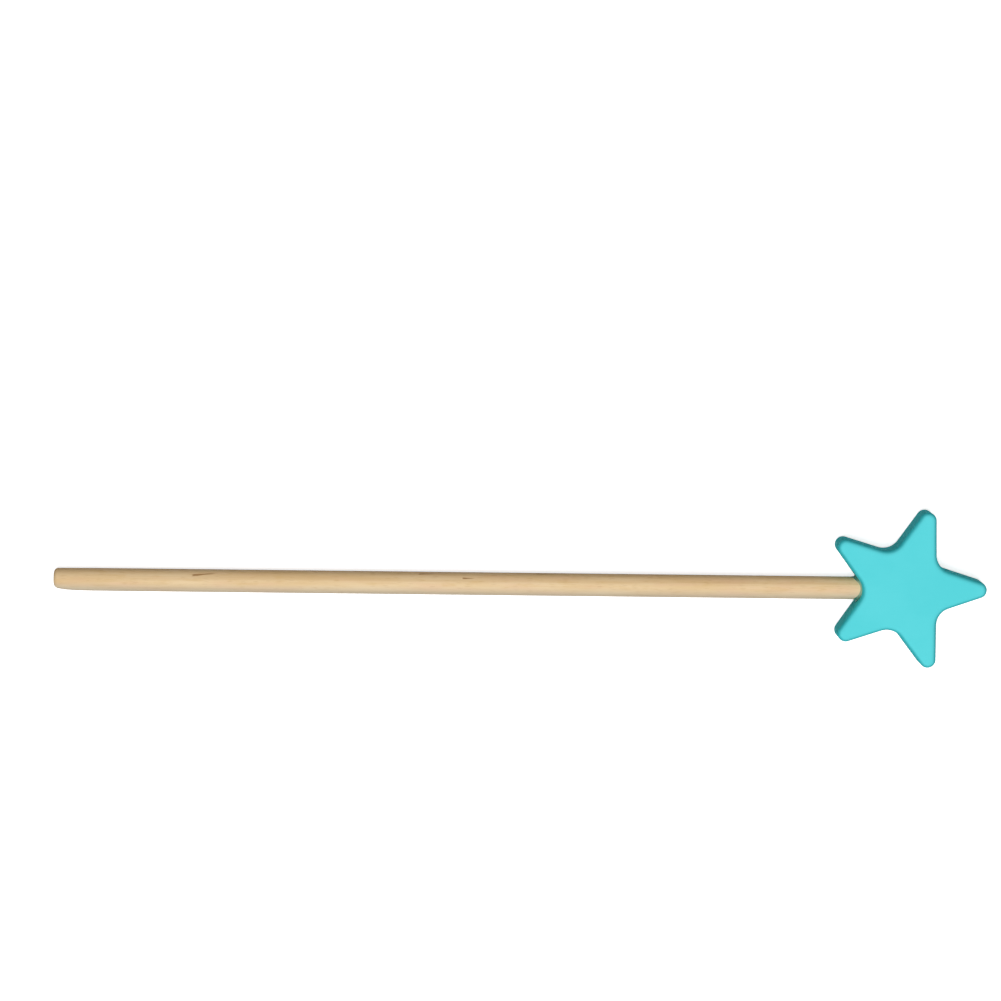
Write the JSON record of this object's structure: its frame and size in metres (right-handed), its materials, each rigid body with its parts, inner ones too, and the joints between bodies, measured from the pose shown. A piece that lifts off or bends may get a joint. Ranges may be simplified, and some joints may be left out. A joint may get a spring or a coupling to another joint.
{
  "type": "toy magic wand",
  "caption": "Toy magic wand: a thick painted wooden star with rounded points and edges, glued onto the end of a plain round beech stick.",
  "frame": {"origin": "middle of the wand's length and width, on the plane of the star's back", "axes": "+X along the stick towards the star, +Z out of the star's front, +Y across the wand"},
  "size_m": [0.3258, 0.0544, 0.016],
  "materials": {
    "stick_beech": "bare beech, fine sanded, unvarnished",
    "wood_glue": "set wood glue, clear amber, wiped flush",
    "star_paint": "turquoise paint over wood, satin"
  },
  "bodies": {
    "root": {"stick": "stick_beech", "glue_bond": "wood_glue", "star": "star_paint"}
  },
  "joints": []
}
